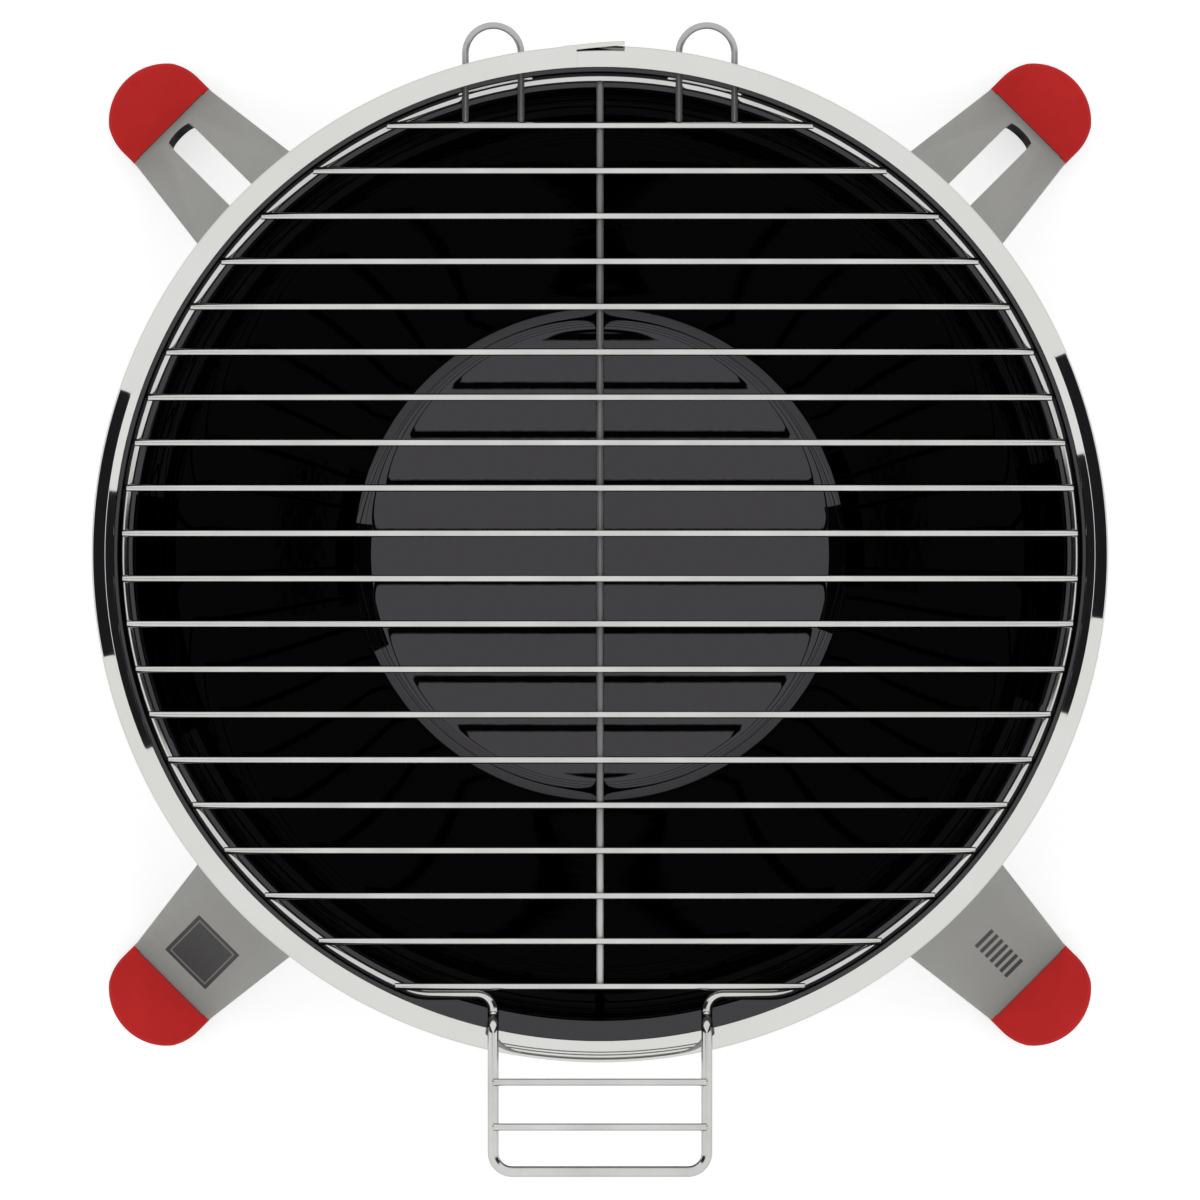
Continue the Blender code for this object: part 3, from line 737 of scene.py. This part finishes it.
def lapped_profile():
    """The strip just before its outer end, its outer side moved out over the inner end."""
    start = (0.1995, -0.0034)
    return bent_line(start, [
        ((0.1995, -0.0031), None, 1),
        ((0.19985, -0.00245), (0.1995, -0.00275), 3),
        ((0.20225, -0.00045), None, 2),
        ((0.2034, -0.0002), (0.2028, 0.00002), 4),
        ((0.2087, -0.0031), (0.2057, -0.0010), 10),
        ((0.2091, -0.0042), (0.2091, -0.0035), 4),
        ((0.2091, -0.0093), None, 1),
        ((0.2089, -0.0098), (0.2091, -0.0098), 3),
        ((0.2088, -0.0098), None, 1),
        ((0.2087, -0.0097), (0.20875, -0.0098), 2),
        ((0.2086, -0.0096), (0.2086, -0.0097), 2),
        ((0.2086, -0.0093), None, 1),
        ((0.2086, -0.0088), (0.2086, -0.0090), 2),
        ((0.2086, -0.0046), None, 1),
        ((0.2076, -0.0030), None, 2),
        ((0.2030, -0.0013), None, 1),
        ((0.2026, -0.0013), (0.2028, -0.0011), 2),
        ((0.2004, -0.0030), None, 1),
        ((0.2004, -0.0034), None, 1),
        (start, (0.19995, -0.0036), 3),
    ])


def tail_profile(inner, outer):
    """The strip's outer end: a narrow roof and its outer side, standing off the inner end."""
    top, sheet = TAIL_TOP, TAIL_THICKNESS
    edge = top - 0.0002 - (outer - inner - 0.0009) * TAIL_SLOPE
    start = (inner, top - 0.00015)
    return bent_line(start, [
        ((inner, top - 0.0001), None, 1),
        ((inner + 0.0001, top), (inner, top), 3),
        ((inner + 0.0002, top - 0.00005), None, 2),
        ((inner + 0.0005, top - 0.0002), (inner + 0.0003, top - 0.00008), 4),
        ((outer - 0.0004, edge), None, 10),
        ((outer, edge - 0.0010), (outer, edge - 0.0003), 4),
        ((outer, -0.0093), None, 1),
        ((outer - 0.0002, -0.0098), (outer, -0.0098), 3),
        ((outer - 0.0003, -0.0098), None, 1),
        ((outer - 0.0004, -0.0097), (outer - 0.0004, -0.0098), 2),
        ((outer - sheet, -0.0096), (outer - sheet, -0.0097), 2),
        ((outer - sheet, -0.0093), None, 1),
        ((outer - sheet, -0.0088), (outer - sheet, -0.0090), 2),
        ((outer - sheet, edge - 0.0012), None, 1),
        ((outer - 0.0008, edge - 0.0006), None, 2),
        ((inner + 0.0005, top - 0.0003 - sheet), None, 1),
        ((inner + 0.0003, top - 0.0001 - sheet), None, 2),
        ((inner + 0.0002, top - sheet), None, 1),
        ((inner + 0.0001, top + 0.00005 - sheet), None, 1),
        (start, (inner, top - 0.0004), 3),
    ])


def mixed(one, two, share):
    return [tuple(a + (b - a) * share for a, b in zip(p, q)) for p, q in zip(one, two)]


def make_trim(material):
    full = trim_profile()
    lapped = lapped_profile()
    steps = 240
    turn = 2 * math.pi
    first = math.ceil(SEAM_START / turn * steps + 0.01)
    last = math.floor((turn + LAP_START) / turn * steps - 0.01)
    sections = [(SEAM_START, full)]
    sections += [(turn * i / steps, full) for i in range(first, last + 1)]
    for i in range(7):
        share = i / 6
        angle = LAP_START + (SEAM_FULL_END - LAP_START) * share
        ease = share * share * (3 - 2 * share)
        sections.append((angle, mixed(full, lapped, ease)))
    for degrees, inner, outer in TAIL_SECTIONS:
        sections.append((math.radians(degrees), tail_profile(inner, outer)))
    rings = []
    for angle, profile in sections:
        out = Vector((math.sin(angle), math.cos(angle), 0))
        rings.append([out * across + Vector((0, 0, RIM_TOP + up)) for across, up in profile])
    bm = bmesh.new()
    made = skin(bm, rings)
    caps = [bm.faces.new(made[0][::-1]), bm.faces.new(made[-1])]
    bmesh.ops.triangulate(bm, faces=caps)
    trim = piece("rim_trim", finish_mesh("rim_trim", bm, 40), material)
    stand_for(trim, "kettle", "polished_steel", "trim_ring")


# ---------------------------------------------------------------- grate
def frame_path():
    """The frame wire: round the ledge, in to the handle, up over the trim and back again."""
    half_gap = math.asin(-FRONT_RUN_Y / FRAME_RADIUS)
    corner_x = FRAME_RADIUS * math.cos(half_gap)
    first = math.atan2(corner_x, -FRONT_RUN_Y)
    steps = 240
    ring = []
    # The ring stops short of the handle's corners, to leave room for their rounds.
    for i in range(3, steps - 2):
        angle = -math.pi / 2 + first + (2 * math.pi - 2 * first) * i / steps
        ring.append((FRAME_RADIUS * math.cos(angle), FRAME_RADIUS * math.sin(angle), FRAME_Z))
    handle = [
        (-corner_x, FRONT_RUN_Y, FRAME_Z, 0.025),
        (-HANDLE_X, FRONT_RUN_Y, FRAME_Z, 0.007),
        (-HANDLE_X, HANDLE_RISE_Y, FRAME_Z, 0.004),
        (-HANDLE_X, HANDLE_RISE_Y, HANDLE_Z, 0.005),
        (-HANDLE_X, HANDLE_END_Y, HANDLE_Z, 0.0078),
    ]
    handle += [(-x, y, z, radius) for x, y, z, radius in handle[::-1]]
    points = ring + [corner[:3] for corner in handle]
    radii = [0] * len(ring) + [corner[3] for corner in handle]
    return rounded(points, radii, closed=True)


def grate_piece(name, bm, material, node):
    obj = piece(name, finish_mesh(name, bm), material)
    stand_for(obj, "grate", "bright_wire", node)


def axis_box(node):
    """A node's box, measured from the bowl's axis."""
    low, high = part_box(node)
    return low - AXIS, high - AXIS


def make_grate(material, spine_wire, hook_wire):
    bm = bmesh.new()
    add_tube(bm, frame_path(), FRAME_WIRE, closed=True, sides=32)
    grate_piece("frame_wire", bm, material, "grate_frame")

    spine_low, spine_high = axis_box("grate_spine")
    spine_z = (spine_low.z + spine_high.z) / 2
    bm = bmesh.new()
    add_tube(bm, [(0, spine_high.y, spine_z), (0, spine_low.y, spine_z)], BAR_WIRE)
    add_weld(bm, (0, spine_high.y + 0.0001, spine_z - 0.0003), SPINE_END_BEAD)
    grate_piece("spine_wire", bm, spine_wire, "grate_spine")

    for number in range(1, BAR_COUNT + 1):
        node = f"grate_bar_{number:02}"
        low, high = axis_box(node)
        y = (low.y + high.y) / 2
        z = (low.z + high.z) / 2
        cross = math.sqrt(FRAME_RADIUS**2 - y**2)
        lean = abs(y) / FRAME_RADIUS
        bead = Vector(BAR_BEAD) + Vector(BAR_BEAD_STRETCH) * lean
        bm = bmesh.new()
        add_tube(bm, [(low.x, y, z), (high.x, y, z)], BAR_WIRE)
        for side in (-1, 1):
            add_weld(bm, (side * cross, y, z - BAR_WIRE), bead)
        add_weld(bm, (0, y, z - BAR_WIRE), SPINE_BEAD)
        grate_piece(f"cross_bar_{number:02}", bm, material, node)

    for name, side in (("left", -1), ("right", 1)):
        node = "grate_hook_" + name
        low, high = axis_box(node)
        z = (low.z + high.z) / 2
        radius = (high.x - low.x) / 2 - HOOK_WIRE
        centre = ((low.x + high.x) / 2, high.y - HOOK_WIRE - radius)
        crown = arc(centre, radius, 180, 0, 48)
        line = [(crown[0][0], low.y), *crown, (crown[-1][0], low.y)]
        bm = bmesh.new()
        add_tube(bm, [(x, y, z) for x, y in line], HOOK_WIRE)
        for x in (crown[0][0], crown[-1][0]):
            add_weld(bm, (x, low.y, z - 0.0001), HOOK_END_BEAD)
            ring_y = math.sqrt(FRAME_RADIUS**2 - x**2)
            add_weld(bm, (x, ring_y, z - HOOK_WIRE), HOOK_RING_BEAD)
        grate_piece(f"hook_{name}", bm, hook_wire, node)

    for name in ("inner", "outer"):
        node = "handle_rung_" + name
        low, high = axis_box(node)
        y = (low.y + high.y) / 2
        z = (low.z + high.z) / 2
        bm = bmesh.new()
        add_tube(bm, [(low.x, y, z), (high.x, y, z)], BAR_WIRE)
        for side in (-1, 1):
            add_weld(bm, (side * (HANDLE_X - 0.0006), y, z - BAR_WIRE), RUNG_BEAD)
        grate_piece(f"rung_{name}", bm, material, node)


# ---------------------------------------------------------------- legs, feet and fasteners
def leg_line():
    """(outwards, up) along the middle of a leg's plate: flange, strut, shoulder, bend, pad."""
    points = [(0, LEG_TOP_REACH, LEG_TOP_Z), (0, LEG_TOP_REACH, LEG_BEND_Z)]
    for up in (LEG_SHOULDER_Z, LEG_SHOULDER_Z - LEG_SHOULDER_STEP):
        points.append((0, strut_reach(up), up))
    points += [(0, LEG_FOOT_REACH, LEG_PAD_Z), (0, LEG_PAD_END, LEG_PAD_Z)]
    path = rounded(points, [0, 0.012, 0, 0, 0.004, 0], closed=False)
    return [(point.y, point.z) for point in path]


def leg_half_width(reach, up):
    if up < LEG_SHOULDER_Z - LEG_SHOULDER_STEP / 2:
        return LEG_PAD_HALF_WIDTH
    return LEG_HALF_WIDTH_AT_RIM - LEG_TAPER * (reach - LEG_RIM_REACH)


def strut_reach(height):
    """How far out the middle of a leg's strut is at this height."""
    share = (LEG_BEND_Z - height) / (LEG_BEND_Z - LEG_PAD_Z)
    return LEG_TOP_REACH + (LEG_FOOT_REACH - LEG_TOP_REACH) * share


def leg_slot_cutter():
    middle_z = (LEG_SLOT_TOP_Z + LEG_SLOT_BOTTOM_Z) / 2
    half_length = (LEG_SLOT_TOP_Z - LEG_SLOT_BOTTOM_Z) / 2 / math.cos(LEG_LEAN)
    bend = half_length - LEG_SLOT_HALF_WIDTH
    outline = arc((0, bend), LEG_SLOT_HALF_WIDTH, 0, 180, 20)
    outline += arc((0, -bend), LEG_SLOT_HALF_WIDTH, 180, 360, 20)
    bm = bmesh.new()
    rings = [[Vector((x, across, up)) for across, up in outline] for x in (-CUT_REACH, CUT_REACH)]
    made = skin(bm, rings)
    bm.faces.new(made[0][::-1])
    bm.faces.new(made[-1])
    cutter = piece("leg_slot_cutter", finish_mesh("leg_slot_cutter", bm), None)
    cutter.location = (strut_reach(middle_z), 0, middle_z)
    cutter.rotation_euler.y = -LEG_LEAN
    return cutter


def pin_rings(radius, start, end, sides):
    angles = [2 * math.pi * i / sides for i in range(sides)]
    circle = [(radius * math.cos(a), radius * math.sin(a)) for a in angles]
    return [[Vector((x, y, z)) for y, z in circle] for x in (start, end)]


def hole_cutter(side):
    bm = bmesh.new()
    made = skin(bm, pin_rings(HOLE_RADIUS, LEG_TOP_REACH - CUT_REACH, LEG_TOP_REACH + CUT_REACH, 40))
    bm.faces.new(made[0][::-1])
    bm.faces.new(made[-1])
    cutter = piece("leg_hole_cutter", finish_mesh("leg_hole_cutter", bm), None)
    cutter.location = (0, side * STUD_SPREAD, STUD_Z)
    return cutter


def plate(name, line, thickness, half_widths):
    """A bent plate along +X: its middle line, its thickness, and its half width at each point."""
    near = offset_line(line, thickness / 2)
    far = offset_line(line, -thickness / 2)
    rings = []
    for half, inner, outer in zip(half_widths, near, far):
        corners = [(inner, -half), (inner, half), (outer, half), (outer, -half)]
        rings.append([Vector((at[0], across, at[1])) for at, across in corners])
    bm = bmesh.new()
    made = skin(bm, rings)
    bm.faces.new(made[0][::-1])
    bm.faces.new(made[-1])
    blank = piece(name, finish_mesh(name, bm), None)
    blank.location = (0, 0, 0)
    return blank


def leg_mesh(slotted):
    """A leg's bent plate along +X, its holes cut and its edges broken."""
    line = leg_line()
    half_widths = [leg_half_width(reach, up) for reach, up in line]
    leg = plate("leg_blank", line, LEG_THICKNESS, half_widths)
    for side in (-1, 1):
        cut(leg, hole_cutter(side))
    if slotted:
        cut(leg, leg_slot_cutter())
    soften_edges(leg, 0.0004, 3)
    mesh = leg.data
    bpy.data.objects.remove(leg, do_unlink=True)
    return mesh


def foot_outline(inset):
    """The foot's outline from above, moved in by the inset."""
    half = FOOT_HALF_WIDTH - inset
    radius = FOOT_ARC_RADIUS - inset
    half_angle = math.degrees(math.asin(half / radius))
    corner = FOOT_ARC_CENTRE + radius * math.cos(math.radians(half_angle))
    nose = arc((FOOT_ARC_CENTRE, 0), radius, -half_angle + 15, half_angle - 15, 40)
    start = (corner - FOOT_BLEND, -half)
    into = bent_line(start, [(nose[0], (corner, -half), 8)])
    out = bent_line(nose[-1], [((start[0], half), (corner, half), 8)])
    out = [*out[1:], (start[0], half), (FOOT_BACK + inset, half)]
    return [(FOOT_BACK + inset, -half), *into, *nose, *out]


def foot_mesh():
    """A boot with a round nose, a rounded top edge and a pocket for the leg's pad."""
    levels = [(FOOT_BASE_ROUND, 0)]
    for k in range(1, 5):
        turn = math.radians(22.5 * k)
        inset = FOOT_BASE_ROUND * (1 - math.sin(turn))
        levels.append((inset, FOOT_BASE_ROUND * (1 - math.cos(turn))))
    for k in range(9):
        turn = math.radians(11.25 * k)
        inset = FOOT_TOP_ROUND * (1 - math.cos(turn))
        levels.append((inset, FOOT_HEIGHT - FOOT_TOP_ROUND * (1 - math.sin(turn))))
    rings = [[Vector((x, y, up)) for x, y in foot_outline(inset)] for inset, up in levels]
    bm = bmesh.new()
    made = skin(bm, rings)
    bm.faces.new(made[0][::-1])
    bm.faces.new(made[-1])
    foot = piece("foot_blank", finish_mesh("foot_blank", bm), None)
    foot.location = (0, 0, 0)
    line = [point for point in leg_line() if point[1] < LEG_BEND_Z / 2]
    line[0] = (strut_reach(2 * FOOT_HEIGHT), 2 * FOOT_HEIGHT)
    line[-1] = (LEG_PAD_END + FIT, LEG_PAD_Z)
    half_widths = [LEG_PAD_HALF_WIDTH + FIT] * len(line)
    pocket = plate("foot_pocket_cutter", line, LEG_THICKNESS + 2 * FIT, half_widths)
    cut(foot, pocket)
    mesh = foot.data
    bpy.data.objects.remove(foot, do_unlink=True)
    return mesh


def nut_mesh():
    """A chamfered hexagon nut along +X from its own origin."""
    flat = NUT_FLATS / 2
    steps = 96
    angles = [2 * math.pi * i / steps for i in range(steps)]
    hexagon = [flat / math.cos((a + math.pi / 6) % (math.pi / 3) - math.pi / 6) for a in angles]
    washer = flat * 0.97
    rise = [(radius - washer) * math.tan(math.radians(28)) for radius in hexagon]
    bevel = 0.0004
    levels = [
        ([HOLE_RADIUS] * steps, [bevel] * steps),
        ([HOLE_RADIUS + bevel] * steps, [0] * steps),
        ([washer] * steps, [0] * steps),
        (hexagon, rise),
        (hexagon, [NUT_HEIGHT - up for up in rise]),
        ([washer] * steps, [NUT_HEIGHT] * steps),
        ([HOLE_RADIUS + bevel] * steps, [NUT_HEIGHT] * steps),
        ([HOLE_RADIUS] * steps, [NUT_HEIGHT - bevel] * steps),
        ([HOLE_RADIUS] * steps, [bevel] * steps),
    ]
    rings = []
    for radii, heights in levels:
        rings.append([
            Vector((up, radius * math.cos(a), radius * math.sin(a)))
            for a, radius, up in zip(angles, radii, heights)
        ])
    bm = bmesh.new()
    skin(bm, rings)
    bmesh.ops.remove_doubles(bm, verts=bm.verts, dist=1e-7)
    return finish_mesh("nut_form", bm, 20)


def stud_mesh():
    """A threaded stud along +X from its own origin, with a plain chamfered tip."""
    sides = 36
    depth = 0.00045
    tip = 0.0006
    chamfer = 0.0005
    rows = round(STUD_LENGTH / STUD_PITCH * 8)
    rings = []
    for row in range(rows + 1):
        along = STUD_LENGTH * row / rows
        fade = min(1, (STUD_LENGTH - along) / tip)
        ring = []
        for i in range(sides):
            phase = (along / STUD_PITCH - i / sides) % 1
            valley = 1 - abs(2 * phase - 1)
            radius = STUD_RADIUS - depth * valley - (1 - fade) * chamfer
            angle = 2 * math.pi * i / sides
            ring.append(Vector((along, radius * math.cos(angle), radius * math.sin(angle))))
        rings.append(ring)
    bm = bmesh.new()
    made = skin(bm, rings)
    bm.faces.new(made[0][::-1])
    bm.faces.new(made[-1])
    return finish_mesh("stud_form", bm, 50)


def make_stand(steels, plastic, zinc):
    plain, slotted = leg_mesh(False), leg_mesh(True)
    foot, nut, stud = foot_mesh(), nut_mesh(), stud_mesh()
    stud_root = NECK_RADIUS + SHELL + STUD_GAP
    nut_seat = LEG_TOP_REACH + LEG_THICKNESS / 2 + FIT
    for corner, degrees in CORNERS.items():
        turn = math.radians(degrees)
        source = slotted if corner.startswith("back") else plain
        leg = piece("strut_" + corner, source.copy(), steels.get(corner, steels["back"]), turn)
        stand_for(leg, "kettle", "satin_steel", "leg_" + corner)
        boot = piece("boot_" + corner, foot.copy(), plastic)
        boot.data.transform(Matrix.Rotation(turn, 4, "Z"))
        stand_for(boot, "kettle", "red_plastic", "foot_" + corner)
        for letter, side in (("a", -1), ("b", 1)):
            for kind, form, reach in (("stud", stud, stud_root), ("nut", nut, nut_seat)):
                node = f"{kind}_{corner}_{letter}"
                part = piece("zinc_" + node, form.copy(), zinc, turn)
                place = Vector((reach, side * STUD_SPREAD, STUD_Z))
                part.location = AXIS + Matrix.Rotation(turn, 3, "Z") @ place
                stand_for(part, "kettle", "zinc", node)


# ---------------------------------------------------------------- setting
def make_floor():
    """A wide, plain pale floor."""
    bm = bmesh.new()
    bmesh.ops.create_circle(bm, cap_ends=True, segments=96, radius=FLOOR_RADIUS)
    mesh = bpy.data.meshes.new("floor")
    bm.to_mesh(mesh)
    bm.free()
    floor = bpy.data.objects.new("floor", mesh)
    bpy.context.scene.collection.objects.link(floor)
    floor.location.z = -FLOOR_GAP
    material, nodes, shader, place = new_material("floor", Roughness=0.9)
    mottle = nodes.noise(place, 30, 3)
    colour = nodes.ramp(mottle, 0.3, 0.7, (0.80, 0.80, 0.80), (0.82, 0.82, 0.82))
    nodes.join(colour, shader.inputs["Base Color"])
    shader.inputs["Specular IOR Level"].default_value = 0.0
    shader.inputs["Emission Color"].default_value = (1, 1, 1, 1)
    seen = nodes.add("ShaderNodeLightPath").outputs["Is Camera Ray"]
    nodes.join(nodes.math("MULTIPLY", seen, FLOOR_GLOW), shader.inputs["Emission Strength"])
    mesh.materials.append(material)


def make_flags():
    """Two tall black cards, out of the camera's sight, that show as dark arcs in the bright steel."""
    material, nodes, shader, place = new_material("black_card", Roughness=0.8)
    weave = nodes.noise(place, 900, 2)
    colour = nodes.ramp(weave, 0.3, 0.7, (0.012, 0.012, 0.014), (0.02, 0.02, 0.022))
    nodes.join(colour, shader.inputs["Base Color"])
    shader.inputs["Specular IOR Level"].default_value = 0.0
    for name, x, low, high in FLAGS:
        mesh = bpy.data.meshes.new(name)
        corners = [(x, low, FLAG_FOOT), (x, high, FLAG_FOOT), (x, high, FLAG_TOP), (x, low, FLAG_TOP)]
        mesh.from_pydata([(a, b + AXIS.y, c) for a, b, c in corners], [], [(0, 1, 2, 3)])
        mesh.materials.append(material)
        flag = bpy.data.objects.new(name, mesh)
        bpy.context.scene.collection.objects.link(flag)
        flag.visible_camera = False
        flag.visible_diffuse = False
        flag.visible_shadow = False


def make_world():
    """An even white dome, a little stronger on matt surfaces and weaker in reflected reflections."""
    world = bpy.data.worlds.new("studio")
    world.use_nodes = True
    bpy.context.scene.world = world
    nodes = Nodes(world.node_tree)
    output = nodes.add("ShaderNodeOutputWorld")
    light = nodes.add("ShaderNodeBackground")
    path = nodes.add("ShaderNodeLightPath").outputs
    matt = nodes.math("MULTIPLY", path["Is Diffuse Ray"], MATT_LIFT)
    twice = nodes.math("GREATER_THAN", path["Glossy Depth"], 1.5)
    repeated = nodes.math("MULTIPLY", twice, REPEAT_DROP)
    strength = nodes.math("SUBTRACT", nodes.math("ADD", matt, 1.0), repeated)
    nodes.join(strength, light.inputs["Strength"])
    nodes.join(light.outputs[0], output.inputs["Surface"])


def make_camera():
    half_angle = math.atan(SENSOR / 2 / CAMERA_LENS)
    distance = FRAME_WIDTH / 2 / math.tan(half_angle)
    data = bpy.data.cameras.new("camera")
    data.lens = CAMERA_LENS
    data.sensor_width = SENSOR
    data.clip_start = 1
    data.clip_end = 40
    camera = bpy.data.objects.new("camera", data)
    bpy.context.scene.collection.objects.link(camera)
    camera.location = (0, CAMERA_Y, RIM_TOP + distance)
    bpy.context.scene.camera = camera


make_bowl(enamel())
make_trim(polished_steel())
# The spine and hook wires are the bars' own bright wire, painted darker: lower tints and painted shade past
# their fades stand in for the dark reflections they show.
make_grate(
    bright_wire("bright_wire", (0.82, 0.82, 0.80), 0.07, 0.16),
    bright_wire("spine_wire", (0.66, 0.66, 0.65), 0.16, 0.28, metallic=0.45, fade=(-0.137, -0.095)),
    bright_wire("hook_wire", (0.60, 0.60, 0.59), 0.16, 0.28, metallic=0.6, fade=(0.2005, 0.1990)),
)
# The back legs' material holds the painted shade in their slots; the front legs' marks are plain print.
satin = {
    "back": satin_steel("satin_steel", slot_shade),
    "front_left": satin_steel("satin_steel_badge", badge_mark),
    "front_right": satin_steel("satin_steel_tally", tally_mark),
}
make_stand(satin, red_plastic(), bright_wire("zinc", (0.62, 0.63, 0.66), 0.22, 0.38))
make_floor()
make_flags()
make_world()
make_camera()
bpy.context.scene.view_settings.view_transform = "Standard"
